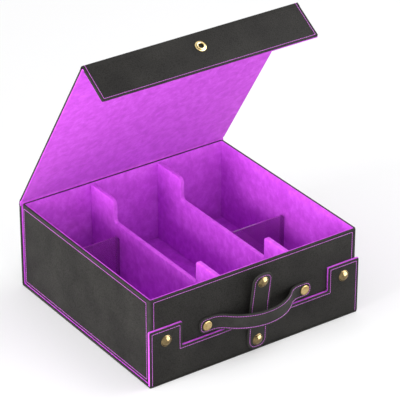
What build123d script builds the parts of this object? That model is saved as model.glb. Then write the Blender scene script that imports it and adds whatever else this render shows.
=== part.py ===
from build123d import *
from math import cos, radians, sin, sqrt, tan
import os

# Carrying case for collection items: a three-row tray glued into a folding cover.
# Millimetres. +Z is up, the front looks along -Y, and the origin is the middle of the base's underside.

# Overall size of the tray
tray_width = 286.0
tray_depth = 268.0
rim_height = 111.0

# Layers of every panel, from the outside in
leather = 0.8
board = 1.6
lining = 1.0
panel = leather + board + lining

# Cover round the tray
cover_overhang = 2.4
cover_width = tray_width + 2 * cover_overhang
rim_gap = 0.4
front_gap = 0.4
lid_angle = 58.0
flap_angle = lid_angle - 90.0
flap_length = 47.4

# Hinge and fold: thin strips without board, that meet in a round knuckle
hinge_margin = 4.5
fold_margin = 4.0
knuckle_clearance = 0.3
strip = leather + lining
groove_radius = strip / 2 * sqrt(2) + knuckle_clearance

# Apron in front of the tray
apron_corner_height = 72.5
apron_handle_gap = 3.75
apron_step_gap = 24.0

# Dividers between the rows
divider_core = 4.0
divider_dip = 28.5
divider_rim_drop = 1.0
rear_stub_length = 50.0
front_stub_length = 42.0
rear_stub_radius = 8.0
front_stub_radius = 4.0
rear_foot_radius = 4.0
front_foot_radius = 4.0

# Clear plates that stand in the outer rows
plate_thickness = 2.0
plate_top = 70.0
plate_wing = 8.0
plate_corner_radius = 8.0
plate_bend_radius = 3.0
plate_side_clearance = 0.4
plate_lift = 0.2
left_plate_y = 66.0
right_plate_y = -2.7

# Closure strap and its tab
strap_width = 27.0
strap_thickness = 2.2
strap_end_radius = 11.0
strap_bottom = 3.0
strap_flat_top = 23.0
strap_lean_angle = 6.2
tab_drop = 2.0
tab_lean_angle = 9.0
tab_snapped_angle = 3.8
tab_end_margin = 11.5
strap_rivet_height = 15.0

# Carrying handle
handle_height = 19.5
handle_thickness = 2.6
handle_centre_height = 55.5
handle_rivet_x = 67.8
handle_end_length = 10.0
handle_flat_length = 6.3
handle_bow = 27.0
handle_root_radius = 24.0
handle_split_gap = 0.6
handle_end_radius = 8.0

# Brass hardware
shank_radius = 1.5
shank_clearance = 0.2
dome_radius = 7.0
dome_flange = 0.7
dome_height = 4.5
corner_stud_height = 56.0
rivet_radius = 6.0
rivet_height = 1.6
rivet_edge = 0.5
washer_radius = 4.0
washer_thickness = 0.8
socket_reach = 17.3
socket_flange_radius = 6.8
socket_flange = 0.7
socket_edge = 0.2
socket_ring_radius = 5.2
socket_hole_radius = 3.2
socket_height = 2.0
socket_back_radius = 5.5
socket_back = 0.8
stud_base_radius = 3.6
stud_base = 0.3
stud_post_radius = 2.5
stud_post = 1.3

# Places worked out from the sizes above
front_y = -tray_depth / 2
rear_y = tray_depth / 2
floor_top = panel + board + lining
inner_width = tray_width - 2 * panel
divider_thickness = divider_core + 2 * lining
row_width = (inner_width - 2 * divider_thickness) / 3
divider_x = (row_width + divider_thickness) / 2
plate_x = row_width + divider_thickness
hinge_y = rear_y + panel / 2
hinge_z = rim_height + rim_gap + panel / 2
lid_reach = tray_depth + 2 * panel + front_gap
back_top = hinge_z - hinge_margin
divider_top = rim_height - divider_rim_drop
handle_end_x = handle_rivet_x + handle_end_length
apron_middle_height = handle_centre_height - handle_height / 2 - apron_handle_gap
apron_step_x = handle_end_x + apron_step_gap
corner_stud_x = (apron_step_x + cover_width / 2) / 2
tab_height = hinge_z - flap_length - tab_drop


def inward(angle):
    """Normal from the leather to the lining of a cover panel that is raised by the angle."""
    return Vector(0, -sin(radians(angle)), -cos(radians(angle)))


def along(angle):
    """Direction from a cover panel's rear edge to its front edge."""
    return Vector(0, -cos(radians(angle)), sin(radians(angle)))


hinge_point = Vector(0, hinge_y, hinge_z)
fold_point = hinge_point + along(lid_angle) * lid_reach

# Outer faces of the panels: each plane's Z runs inwards, and its Y runs up or away from the hinge
base_plane = Plane.XY
apron_plane = Plane((0, front_y - panel, 0), x_dir=(-1, 0, 0), z_dir=(0, 1, 0))
back_plane = Plane((0, rear_y + panel, 0), x_dir=(1, 0, 0), z_dir=(0, -1, 0))
front_plane = Plane((0, front_y, 0), x_dir=(-1, 0, 0), z_dir=(0, 1, 0))
rear_plane = Plane((0, rear_y, 0), x_dir=(1, 0, 0), z_dir=(0, -1, 0))
left_plane = Plane((-tray_width / 2, 0, 0), x_dir=(0, 1, 0), z_dir=(1, 0, 0))
right_plane = Plane((tray_width / 2, 0, 0), x_dir=(0, -1, 0), z_dir=(-1, 0, 0))
lid_plane = Plane(hinge_point, x_dir=(1, 0, 0), z_dir=inward(lid_angle))
flap_plane = Plane(fold_point, x_dir=(1, 0, 0), z_dir=inward(flap_angle))
lid_face = lid_plane.offset(-panel / 2)
flap_face = flap_plane.offset(-panel / 2)

# Strap's side view: flat, then leaning out to the line where its tab bends
strap_face_y = front_y - panel
lean_rise = strap_thickness * tan(radians(strap_lean_angle / 2))
lean_out = Vector(0, -sin(radians(strap_lean_angle)), cos(radians(strap_lean_angle)))
lean_in = Vector(0, cos(radians(strap_lean_angle)), sin(radians(strap_lean_angle)))
lean_start = Vector(0, strap_face_y - strap_thickness / 2, strap_flat_top - lean_rise / 2)
tab_point = lean_start + lean_out * ((tab_height - lean_start.Z) / lean_out.Z)
strap_back = tab_point + lean_in * (strap_thickness / 2)
strap_front = tab_point - lean_in * (strap_thickness / 2)

# The snapped tab's stud reaches the flap's socket
stud_offset = strap_thickness / 2 + stud_base + stud_post
stud_rise = stud_offset * sin(radians(tab_snapped_angle))
tab_snap_reach = (hinge_z - socket_reach - tab_point.Z - stud_rise) / cos(radians(tab_snapped_angle))
tab_length = tab_snap_reach + tab_end_margin

# Places of the fasteners, in each panel's own plane
corner_stud_places = [(-corner_stud_x, corner_stud_height), (corner_stud_x, corner_stud_height)]
handle_rivet_places = [(-handle_rivet_x, handle_centre_height), (handle_rivet_x, handle_centre_height)]
front_wall_places = corner_stud_places + handle_rivet_places
strap_rivet_places = [(0, strap_rivet_height)]
socket_places = [(0, socket_reach)]

os.makedirs("parts", exist_ok=True)


def finish(piece, name):
    """Label a finished piece and write it."""
    piece.part.label = name
    export_step(piece.part, f"parts/{name}.step")


def layer(plane, width, low, high, start, thickness):
    """Add a flat layer to the open part: from low to high along the plane's Y, from start along its Z."""
    with BuildSketch(plane.offset(start)) as face:
        with Locations((0, (low + high) / 2)):
            Rectangle(width, high - low)
    extrude(face.sketch, amount=thickness)


def discs(plane, places, radius, start, depth, mode=Mode.ADD):
    """Add round discs to the open part, from start along the plane's Z, or cut them."""
    with BuildSketch(plane.offset(start)) as face:
        with Locations(*places):
            Circle(radius)
    extrude(face.sketch, amount=depth, mode=mode)


def bores(plane, places, radius, start, depth):
    """Cut round holes in the open part."""
    if places:
        discs(plane, places, radius, start, depth, Mode.SUBTRACT)


def knuckle(point, radius, length, mode=Mode.ADD):
    """Add a round bar along X through the point to the open part, or cut one."""
    with BuildSketch(Plane(point - Vector(length / 2, 0, 0), z_dir=(1, 0, 0))) as face:
        Circle(radius)
    extrude(face.sketch, amount=length, mode=mode)


def domes(plane, places, radius, flange, height):
    """Add flanged domed heads to the open part, that stand out against the plane's Z."""
    crown = radius - flange
    for x, y in places:
        centre = plane.from_local_coords((x, y, 0))
        with BuildSketch(Plane(centre, x_dir=plane.x_dir, z_dir=plane.y_dir)) as profile:
            with BuildLine():
                Polyline((0, height), (0, 0), (radius, 0), (radius, flange), (crown, flange))
                TangentArc((0, height), (crown, flange), tangent=(1, 0))
            make_face()
        revolve(profile.sketch, axis=Axis(centre, plane.z_dir))


def rectangle_outline(width, low, high):
    """Outline of a panel that is centred on X."""
    with BuildSketch() as outline:
        with Locations((0, (low + high) / 2)):
            Rectangle(width, high - low)
    return outline.sketch


def apron_outline():
    """The apron's stepped outline, from the base's board up: two raised corners and a low middle."""
    half = cover_width / 2
    low = leather + board
    with BuildSketch() as outline:
        with BuildLine():
            Polyline(
                (-half, low), (half, low), (half, apron_corner_height),
                (apron_step_x, apron_corner_height), (apron_step_x, apron_middle_height),
                (-apron_step_x, apron_middle_height), (-apron_step_x, apron_corner_height),
                (-half, apron_corner_height), close=True)
        make_face()
    return outline.sketch


def cover_panel(name, plane, outline, facing, places=(), pocket_places=()):
    """Leather turned in over the edges of a board, and a lining over both, with pockets for washers."""
    hole = shank_radius + shank_clearance
    with BuildPart() as skin:
        with BuildSketch(plane):
            add(outline)
        extrude(amount=leather + board)
        with BuildSketch(plane.offset(leather)):
            add(outline)
            offset(amount=-leather, kind=Kind.INTERSECTION)
        extrude(amount=board, mode=Mode.SUBTRACT)
        bores(plane, places, hole, 0, leather)
    finish(skin, f"{name}_leather")
    with BuildPart() as core:
        with BuildSketch(plane.offset(leather)):
            add(outline)
            offset(amount=-leather, kind=Kind.INTERSECTION)
        extrude(amount=board)
        bores(plane, places, hole, leather, board)
    finish(core, f"{name}_board")
    with BuildPart() as cloth:
        with BuildSketch(plane.offset(leather + board)):
            add(facing)
        extrude(amount=lining)
        bores(plane, places, hole, leather + board, lining)
        bores(plane, pocket_places, washer_radius + shank_clearance, leather + board, lining)
    finish(cloth, f"{name}_lining")


# Cover: base and back panels of one width, the apron, the lid and the lid's flap
cover_panel(
    "base", base_plane,
    rectangle_outline(cover_width, front_y - panel, rear_y + panel),
    rectangle_outline(cover_width, front_y, rear_y))
cover_panel(
    "back", back_plane,
    rectangle_outline(cover_width, leather + board, back_top),
    rectangle_outline(cover_width, leather + board, back_top))
cover_panel(
    "apron", apron_plane, apron_outline(), apron_outline(),
    corner_stud_places + strap_rivet_places, strap_rivet_places)
cover_panel(
    "lid", lid_face,
    rectangle_outline(cover_width, hinge_margin, lid_reach - fold_margin),
    rectangle_outline(cover_width, hinge_margin, lid_reach - fold_margin))
cover_panel(
    "flap", flap_face,
    rectangle_outline(cover_width, fold_margin, flap_length),
    rectangle_outline(cover_width, fold_margin, flap_length), socket_places)

# Hinge and fold strips: the moving half carries the knuckle, the other half is hollowed round it
with BuildPart() as back_hinge_strip:
    layer(back_plane, cover_width, back_top, hinge_z, (panel - strip) / 2, strip)
    knuckle(hinge_point, groove_radius, cover_width, Mode.SUBTRACT)
finish(back_hinge_strip, "back_hinge_strip")

with BuildPart() as lid_hinge_strip:
    layer(lid_plane, cover_width, 0, hinge_margin, -strip / 2, strip)
    knuckle(hinge_point, strip / 2, cover_width)
finish(lid_hinge_strip, "lid_hinge_strip")

with BuildPart() as lid_fold_strip:
    layer(lid_plane, cover_width, lid_reach - fold_margin, lid_reach, -strip / 2, strip)
    knuckle(fold_point, groove_radius, cover_width, Mode.SUBTRACT)
finish(lid_fold_strip, "lid_fold_strip")

with BuildPart() as flap_fold_strip:
    layer(flap_plane, cover_width, 0, fold_margin, -strip / 2, strip)
    knuckle(fold_point, strip / 2, cover_width)
finish(flap_fold_strip, "flap_fold_strip")


def tray_wall(name, plane, skin_length, core_length, cloth_length, places=()):
    """One tray wall: leather over the outside and the top edge, a board, and a lining up to the rim."""
    hole = shank_radius + shank_clearance
    with BuildPart() as skin:
        layer(plane, skin_length, panel, rim_height, 0, leather)
        layer(plane, core_length, rim_height - leather, rim_height, leather, board)
        bores(plane, places, hole, 0, leather)
    finish(skin, f"{name}_wall_leather")
    with BuildPart() as core:
        layer(plane, core_length, panel, rim_height - leather, leather, board)
        bores(plane, places, hole, leather, board)
        bores(plane, places, washer_radius + shank_clearance,
              leather + board - washer_thickness, washer_thickness)
    finish(core, f"{name}_wall_board")
    with BuildPart() as cloth:
        layer(plane, cloth_length, floor_top, rim_height, leather + board, lining)
    finish(cloth, f"{name}_wall_lining")


# Tray: front and rear walls run the whole width, and the side walls stand between them, layer by layer
long_lengths = (tray_width, tray_width - 2 * leather, tray_width - 2 * (leather + board))
short_lengths = (tray_depth - 2 * leather, tray_depth - 2 * (leather + board), tray_depth - 2 * panel)
tray_wall("front", front_plane, *long_lengths, front_wall_places)
tray_wall("rear", rear_plane, *long_lengths)
tray_wall("left", left_plane, *short_lengths)
tray_wall("right", right_plane, *short_lengths)

floor_width = tray_width - 2 * (leather + board)
floor_reach = tray_depth / 2 - leather - board
with BuildPart() as floor_board:
    layer(base_plane, floor_width, -floor_reach, floor_reach, panel, board)
finish(floor_board, "floor_board")

with BuildPart() as floor_lining:
    layer(base_plane, floor_width, -floor_reach, floor_reach, panel + board, lining)
finish(floor_lining, "floor_lining")


def divider_outline(inset):
    """A divider seen from its left: tall stubs at both ends and a low middle, drawn in by the inset."""
    front = front_y + panel
    rear = rear_y - panel
    top = divider_top - inset
    low = top - divider_dip
    rear_edge = rear - rear_stub_length + inset
    front_edge = front + front_stub_length - inset
    with BuildSketch() as outline:
        with BuildLine():
            FilletPolyline(
                (front, top), (front_edge, top), (front_edge, low),
                (rear_edge, low), (rear_edge, top), (rear, top),
                radius=[front_stub_radius - inset, front_foot_radius + inset,
                        rear_foot_radius + inset, rear_stub_radius - inset])
            Polyline((rear, top), (rear, floor_top), (front, floor_top), (front, top))
        make_face()
    return outline.sketch


def divider(name, x):
    """A board with its lining folded over it."""
    side = Plane((x, 0, 0), x_dir=(0, 1, 0), z_dir=(1, 0, 0))
    with BuildPart() as core:
        with BuildSketch(side.offset(-divider_core / 2)):
            add(divider_outline(lining))
        extrude(amount=divider_core)
    finish(core, f"{name}_divider_board")
    with BuildPart() as cloth:
        with BuildSketch(side.offset(-divider_thickness / 2)):
            add(divider_outline(0))
        extrude(amount=divider_thickness)
        with BuildSketch(side.offset(-divider_core / 2)):
            add(divider_outline(lining))
        extrude(amount=divider_core, mode=Mode.SUBTRACT)
    finish(cloth, f"{name}_divider_lining")


divider("left", -divider_x)
divider("right", divider_x)


def clear_plate(name, x, y):
    """A bent clear plate that stands across a row, with a wing along each side that points back."""
    half = row_width / 2 - plate_side_clearance
    bottom = floor_top + plate_lift
    inner_radius = plate_bend_radius - plate_thickness
    with BuildPart() as plate:
        with BuildSketch(Plane((x, y, bottom))):
            with BuildLine():
                FilletPolyline(
                    (-half, plate_wing), (-half, 0), (half, 0), (half, plate_wing), radius=plate_bend_radius)
                Line((half, plate_wing), (half - plate_thickness, plate_wing))
                FilletPolyline(
                    (half - plate_thickness, plate_wing), (half - plate_thickness, plate_thickness),
                    (plate_thickness - half, plate_thickness), (plate_thickness - half, plate_wing),
                    radius=inner_radius)
                Line((plate_thickness - half, plate_wing), (-half, plate_wing))
            make_face()
        extrude(amount=plate_top - bottom)
        with BuildSketch(Plane((x, y, bottom), x_dir=(-1, 0, 0), z_dir=(0, 1, 0))) as front_view:
            with Locations((0, (plate_top - bottom) / 2)):
                Rectangle(2 * half, plate_top - bottom)
            fillet(front_view.vertices().group_by(Axis.Z)[-1], plate_corner_radius)
        extrude(amount=plate_wing, mode=Mode.INTERSECT)
    finish(plate, name)


clear_plate("left_plate", -plate_x, left_plate_y)
clear_plate("right_plate", plate_x, right_plate_y)

# Closure strap: flat under its rivet, then leaning out so that the closed flap fits behind it
with BuildPart() as closure_strap:
    with BuildSketch(Plane.YZ.offset(-strap_width / 2)):
        with BuildLine():
            Polyline(
                (strap_face_y, strap_bottom), (strap_face_y, strap_flat_top),
                (strap_back.Y, strap_back.Z), (strap_front.Y, strap_front.Z),
                (strap_face_y - strap_thickness, strap_flat_top - lean_rise),
                (strap_face_y - strap_thickness, strap_bottom), close=True)
        make_face()
    extrude(amount=strap_width)
    with BuildSketch(Plane((0, front_y, strap_bottom), x_dir=(1, 0, 0), z_dir=(0, -1, 0))) as strap_outline:
        with Locations((0, strap_back.Z / 2)):
            Rectangle(strap_width, strap_back.Z)
        fillet(strap_outline.vertices().group_by(Axis.Z)[0], strap_end_radius)
    extrude(amount=strap_back.Z, mode=Mode.INTERSECT)
    knuckle(tab_point, strap_thickness / 2 + knuckle_clearance, strap_width, Mode.SUBTRACT)
    bores(apron_plane, strap_rivet_places, shank_radius + shank_clearance, -strap_thickness, strap_thickness)
finish(closure_strap, "closure_strap")

# Tab: the strap's upper end, which bends over the flap and snaps on it
tab_plane = Plane(
    tab_point, x_dir=(-1, 0, 0),
    z_dir=(0, cos(radians(tab_lean_angle)), sin(radians(tab_lean_angle))))
tab_face = tab_plane.offset(-strap_thickness / 2)
snap_places = [(0, tab_snap_reach)]

with BuildPart() as closure_tab:
    with BuildSketch(tab_face) as tab_outline:
        with Locations((0, tab_length / 2)):
            Rectangle(strap_width, tab_length)
        fillet(tab_outline.vertices().group_by(Axis.Z)[-1], strap_end_radius)
    extrude(amount=strap_thickness)
    knuckle(tab_point, strap_thickness / 2, strap_width)
    bores(tab_face, snap_places, shank_radius + shank_clearance, 0, strap_thickness)
finish(closure_tab, "closure_tab")

with BuildPart() as snap_cap:
    domes(tab_face, snap_places, dome_radius, dome_flange, dome_height)
    discs(tab_face, snap_places, shank_radius, 0, strap_thickness)
finish(snap_cap, "snap_cap")

with BuildPart() as snap_stud:
    discs(tab_face, snap_places, stud_base_radius, strap_thickness, stud_base)
    discs(tab_face, snap_places, stud_post_radius, strap_thickness, stud_base + stud_post)
finish(snap_stud, "snap_stud")

# Flap's half of the snap: a flanged ring outside, and a flat cap on the lining
with BuildPart() as flap_snap_socket:
    discs(flap_face, socket_places, socket_flange_radius, -socket_flange, socket_flange)
    discs(flap_face, socket_places, socket_ring_radius, -socket_height, socket_height)
    bores(flap_face, socket_places, socket_hole_radius, -socket_height, socket_height - socket_flange)
    discs(flap_face, socket_places, shank_radius, 0, panel)
    fillet(flap_snap_socket.edges().filter_by(GeomType.CIRCLE).group_by(lambda edge: edge.radius)[-1],
           socket_edge)
finish(flap_snap_socket, "flap_snap_socket")

with BuildPart() as flap_snap_back:
    discs(flap_face, socket_places, socket_back_radius, panel, socket_back)
finish(flap_snap_back, "flap_snap_back")

# Rivets: domed on the apron and the strap, flat on the handle
with BuildPart() as strap_rivet:
    domes(apron_plane.offset(-strap_thickness), strap_rivet_places, dome_radius, dome_flange, dome_height)
    discs(apron_plane, strap_rivet_places, shank_radius, -strap_thickness, strap_thickness + panel)
finish(strap_rivet, "strap_rivet")

with BuildPart() as strap_rivet_washer:
    discs(apron_plane, strap_rivet_places, washer_radius, leather + board, washer_thickness)
    bores(apron_plane, strap_rivet_places, shank_radius, leather + board, washer_thickness)
finish(strap_rivet_washer, "strap_rivet_washer")

shank_depth = leather + board
with BuildPart() as apron_corner_studs:
    domes(apron_plane, corner_stud_places, dome_radius, dome_flange, dome_height)
    discs(apron_plane, corner_stud_places, shank_radius, 0, panel + shank_depth)
finish(apron_corner_studs, "apron_corner_studs")

with BuildPart() as handle_rivets:
    discs(front_plane, handle_rivet_places, rivet_radius, -handle_thickness - rivet_height, rivet_height)
    chamfer(handle_rivets.edges().filter_by(GeomType.CIRCLE).group_by(Axis.Y)[0], rivet_edge)
    discs(front_plane, handle_rivet_places, shank_radius, -handle_thickness, handle_thickness + shank_depth)
finish(handle_rivets, "handle_rivets")

with BuildPart() as front_wall_washers:
    discs(front_plane, front_wall_places, washer_radius, shank_depth - washer_thickness, washer_thickness)
    bores(front_plane, front_wall_places, shank_radius, shank_depth - washer_thickness, washer_thickness)
finish(front_wall_washers, "front_wall_washers")

# Handle: seen from above, each end lies flat on the wall, turns out, and meets the loop's arc
handle_bottom = Plane.XY.offset(handle_centre_height - handle_height / 2)
half_span = handle_rivet_x - handle_flat_length
bow_rise = handle_bow - handle_thickness / 2
radius_sum = (half_span ** 2 + bow_rise ** 2) / (2 * bow_rise)
loop_radius = radius_sum - handle_root_radius
split_x = half_span * loop_radius / radius_sum
root_y = front_y - handle_thickness / 2 - handle_root_radius
loop_y = front_y - handle_bow + loop_radius
split_y = loop_y - sqrt(loop_radius ** 2 - split_x ** 2)

with BuildPart() as handle_loop:
    with BuildSketch(handle_bottom):
        with Locations((0, loop_y)):
            Circle(loop_radius + handle_thickness / 2)
            Circle(loop_radius - handle_thickness / 2, mode=Mode.SUBTRACT)
        with Locations((0, loop_y - loop_radius)):
            Rectangle(2 * split_x - handle_split_gap, 2 * loop_radius, mode=Mode.INTERSECT)
    extrude(amount=handle_height)
finish(handle_loop, "handle_loop")

with BuildPart() as handle_ends:
    for side in (-1, 1):
        root_start = split_x + handle_split_gap / 2
        with BuildSketch(handle_bottom) as root:
            with Locations((side * half_span, root_y)):
                Circle(handle_root_radius + handle_thickness / 2)
                Circle(handle_root_radius - handle_thickness / 2, mode=Mode.SUBTRACT)
            with Locations((side * (half_span + root_start) / 2, root_y + handle_root_radius)):
                Rectangle(half_span - root_start, 2 * handle_root_radius, mode=Mode.INTERSECT)
        extrude(amount=handle_height)
        with BuildSketch(front_plane) as end:
            with Locations((-side * (half_span + handle_end_x) / 2, handle_centre_height)):
                Rectangle(handle_end_x - half_span, handle_height)
            fillet(end.vertices().group_by(Axis.X)[-1 if side > 0 else 0], handle_end_radius)
        extrude(amount=-handle_thickness)
    bores(front_plane, handle_rivet_places, shank_radius + shank_clearance,
          -handle_thickness, handle_thickness)
finish(handle_ends, "handle_ends")

# Values that the joints and the openings use
print("hinge", hinge_point)
print("fold", fold_point)
print("tab", tab_point, "snap reach", tab_snap_reach)
print("handle axis y", split_y, "z", handle_centre_height, "split x", split_x)
print("rows", row_width, "at", divider_x, plate_x, "floor", floor_top)
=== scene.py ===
import bmesh
import bpy
from math import asin, cos, pi, radians, sin, sqrt
from mathutils import Matrix, Vector


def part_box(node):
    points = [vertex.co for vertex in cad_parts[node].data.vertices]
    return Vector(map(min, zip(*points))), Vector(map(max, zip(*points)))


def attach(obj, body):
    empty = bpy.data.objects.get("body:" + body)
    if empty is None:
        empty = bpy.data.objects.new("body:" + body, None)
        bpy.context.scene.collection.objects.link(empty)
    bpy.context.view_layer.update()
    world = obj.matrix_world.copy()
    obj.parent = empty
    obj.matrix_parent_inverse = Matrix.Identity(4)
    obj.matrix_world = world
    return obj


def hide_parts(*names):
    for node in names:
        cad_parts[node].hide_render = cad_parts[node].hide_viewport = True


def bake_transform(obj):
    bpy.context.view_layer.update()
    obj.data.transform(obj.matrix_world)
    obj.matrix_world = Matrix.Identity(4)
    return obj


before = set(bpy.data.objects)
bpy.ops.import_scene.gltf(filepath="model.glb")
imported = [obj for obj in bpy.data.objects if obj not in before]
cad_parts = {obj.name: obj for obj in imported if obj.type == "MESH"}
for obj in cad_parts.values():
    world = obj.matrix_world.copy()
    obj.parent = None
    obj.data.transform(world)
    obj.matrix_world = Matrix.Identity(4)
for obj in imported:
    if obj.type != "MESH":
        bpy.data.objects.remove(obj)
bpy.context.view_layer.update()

# Sizes of the case, in metres, as the solids have them
mm = 0.001
tray_width = 286 * mm
tray_depth = 268 * mm
rim_height = 111 * mm
leather = 0.8 * mm
board = 1.6 * mm
lining = 1.0 * mm
covered_board = leather + board
panel = covered_board + lining
cover_overhang = 2.4 * mm
cover_width = tray_width + 2 * cover_overhang
lid_angle = radians(58)
flap_angle = lid_angle - pi / 2
closing_room = 0.4 * mm
lid_length = tray_depth + 2 * panel + closing_room
flap_length = 47.4 * mm
hinge_margin = 4.5 * mm
fold_margin = 4.0 * mm
lid_end = lid_length - fold_margin
hinge_point = Vector((0, 135.7, 113.1)) * mm
front_face = -tray_depth / 2
apron_face = front_face - panel
apron_step = 101.8 * mm
apron_middle = 42.0 * mm
apron_corner = 72.5 * mm
back_low = covered_board
back_top = hinge_point.z - hinge_margin
floor_top = 6.0 * mm
dome_radius = 7.0 * mm

# Sewing: the thread lies in a soft channel that it has pulled into the leather
thread_width = 0.75 * mm
stitch_pitch = 2.8 * mm
channel_half_width = 1.0 * mm
channel_depth = 0.35 * mm
stitch_body, stitch_end = 0.56 * stitch_pitch, 0.2 * stitch_pitch
stitch_dip = 0.4 * thread_width
thread_lift = 0.35 * thread_width - channel_depth
cover_seam = 3.2 * mm
base_seam = 5.0 * mm
side_seam, side_seam_top, side_seam_front = 3.2 * mm, 5.1 * mm, 7.0 * mm
front_seam, front_seam_top = 5.5 * mm, 3.4 * mm
flap_end_seam = 2.2 * mm

# Radii of the rounded edges and corners
panel_corner_radius = 1.6 * mm
leather_edge_radius = 0.7 * mm
lining_corner_radius = 0.8 * mm
soft_edge_radius = 0.35 * mm
tray_corner_radius = 2.2 * mm
sleeve_edge_radius = 1.1 * mm
strip_edge_radius = 0.6 * mm


def raised(angle):
    """Direction from the rear edge to the front edge of a cover panel that is raised by the angle."""
    return Vector((0, -cos(angle), sin(angle)))


def outward(angle):
    """Direction out of the leather of a cover panel that is raised by the angle."""
    return Vector((0, sin(angle), cos(angle)))


def panel_frame(origin, right, up):
    """Place of a panel: X to the right and Y up on its outer face, and Z out of it."""
    right, up = Vector(right), Vector(up)
    return Matrix.Translation(origin) @ Matrix((right, up, right.cross(up))).transposed().to_4x4()


lid_way, lid_out = raised(lid_angle), outward(lid_angle)
flap_way, flap_out = raised(flap_angle), outward(flap_angle)
fold_point = hinge_point + lid_way * lid_length
front_frame = panel_frame((0, front_face, 0), (1, 0, 0), (0, 0, 1))
left_frame = panel_frame((-tray_width / 2, 0, 0), (0, -1, 0), (0, 0, 1))
right_frame = panel_frame((tray_width / 2, 0, 0), (0, 1, 0), (0, 0, 1))
apron_frame = panel_frame((0, apron_face, 0), (1, 0, 0), (0, 0, 1))
back_frame = panel_frame((0, -apron_face, 0), (-1, 0, 0), (0, 0, 1))
base_frame = panel_frame((0, 0, 0), (1, 0, 0), (0, -1, 0))
lid_frame = panel_frame(hinge_point + lid_out * panel / 2, (-1, 0, 0), lid_way)
flap_frame = panel_frame(fold_point + flap_out * panel / 2, (-1, 0, 0), flap_way)


# Materials: the leather reads where its edges are rubbed from an attribute of the mesh's points
rubbed_edges = "rubbed_edges"


def colour(hex_value):
    """Linear colour of an sRGB hex value."""
    shares = [int(hex_value[i:i + 2], 16) / 255 for i in (1, 3, 5)]
    return [s / 12.92 if s <= 0.04045 else ((s + 0.055) / 1.055) ** 2.4 for s in shares] + [1.0]


def add_node(tree, kind, inputs=None, stops=(), **settings):
    """Add a node with its settings and colour stops, and set or link its inputs."""
    made = tree.nodes.new(kind)
    for name, value in settings.items():
        setattr(made, name, value)
    for i, (place, hex_value) in enumerate(stops):
        element = made.color_ramp.elements[i] if i < 2 else made.color_ramp.elements.new(place)
        element.position, element.color = place, colour(hex_value)
    for name, value in (inputs or {}).items():
        if isinstance(value, bpy.types.NodeSocket):
            tree.links.new(value, made.inputs[name])
        else:
            made.inputs[name].default_value = value
    return made


def new_material(name):
    """A material with an empty node tree, and the object's own coordinates to draw its patterns on."""
    made = bpy.data.materials.new(name)
    made.use_nodes = True
    made.node_tree.nodes.clear()
    return made, made.node_tree, add_node(made.node_tree, "ShaderNodeTexCoord").outputs["Object"]


def finish_material(tree, shader):
    """Show the shader on the surface."""
    add_node(tree, "ShaderNodeOutputMaterial", {"Surface": shader.outputs[0]})


def show_surface(tree, inputs):
    """Show a surface with these inputs."""
    finish_material(tree, add_node(tree, "ShaderNodeBsdfPrincipled", inputs))


def noise(tree, place, size, detail, roughness=0.5, distortion=0.0):
    """Cloudy pattern with patches of a size."""
    return add_node(tree, "ShaderNodeTexNoise", {
        "Vector": place, "Scale": 1 / size, "Detail": detail, "Roughness": roughness,
        "Distortion": distortion}).outputs["Fac"]


def cells(tree, place, size, smoothness):
    """Pattern of soft, round cells of a size."""
    return add_node(tree, "ShaderNodeTexVoronoi", {
        "Vector": place, "Scale": 1 / size, "Smoothness": smoothness},
        feature="SMOOTH_F1").outputs["Distance"]


def ramp(tree, pattern, *stops):
    """Colours along a pattern."""
    return add_node(tree, "ShaderNodeValToRGB", {"Fac": pattern}, stops).outputs["Color"]


def spread(tree, pattern, low, high, start=0.0, stop=1.0):
    """A pattern's values from start to stop, spread from low to high."""
    return add_node(tree, "ShaderNodeMapRange", {
        "Value": pattern, "From Min": start, "From Max": stop,
        "To Min": low, "To Max": high}).outputs["Result"]


def bump(tree, pattern, strength, depth, more=(), **settings):
    """Relief of a pattern."""
    return add_node(tree, "ShaderNodeBump", {
        "Height": pattern, "Strength": strength, "Distance": depth, **dict(more)},
        **settings).outputs["Normal"]


def leather_material(name, dark, pale, worn):
    """Coated leather, embossed: fine pebbles under a satin coat, soft creases, and edges rubbed paler."""
    made, tree, place = new_material(name)
    # Pebbles of about 0.6 mm on the real one, drawn at 1.3 mm so that they show at this distance
    pebbles = cells(tree, place, 1.3 * mm, 0.35)
    creases = noise(tree, place, 9 * mm, 4.0, 0.6)
    clouds = noise(tree, place, 45 * mm, 3.0, 0.55)
    tone = ramp(tree, clouds, (0.32, dark), (0.7, pale))
    pits = ramp(tree, pebbles, (0.25, "#ffffff"), (0.8, "#a0a0a0"))
    grained = add_node(tree, "ShaderNodeMix", {0: 0.55, 6: tone, 7: pits},
                       data_type="RGBA", blend_type="MULTIPLY")
    edges = add_node(tree, "ShaderNodeAttribute", attribute_name=rubbed_edges)
    wear = add_node(tree, "ShaderNodeMath", {0: edges.outputs["Fac"], 1: creases}, operation="MULTIPLY")
    rubbed = add_node(tree, "ShaderNodeMix", {
        0: wear.outputs["Value"], 6: grained.outputs[2], 7: colour(worn)}, data_type="RGBA")
    crease_bump = bump(tree, creases, 0.22, 0.5 * mm)
    pebble_bump = bump(tree, pebbles, 0.4, 0.3 * mm, {"Normal": crease_bump}, invert=True)
    show_surface(tree, {
        "Base Color": rubbed.outputs[2], "Roughness": spread(tree, creases, 0.48, 0.66), "IOR": 1.5,
        "Specular IOR Level": 0.04, "Normal": pebble_bump})
    return made


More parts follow.
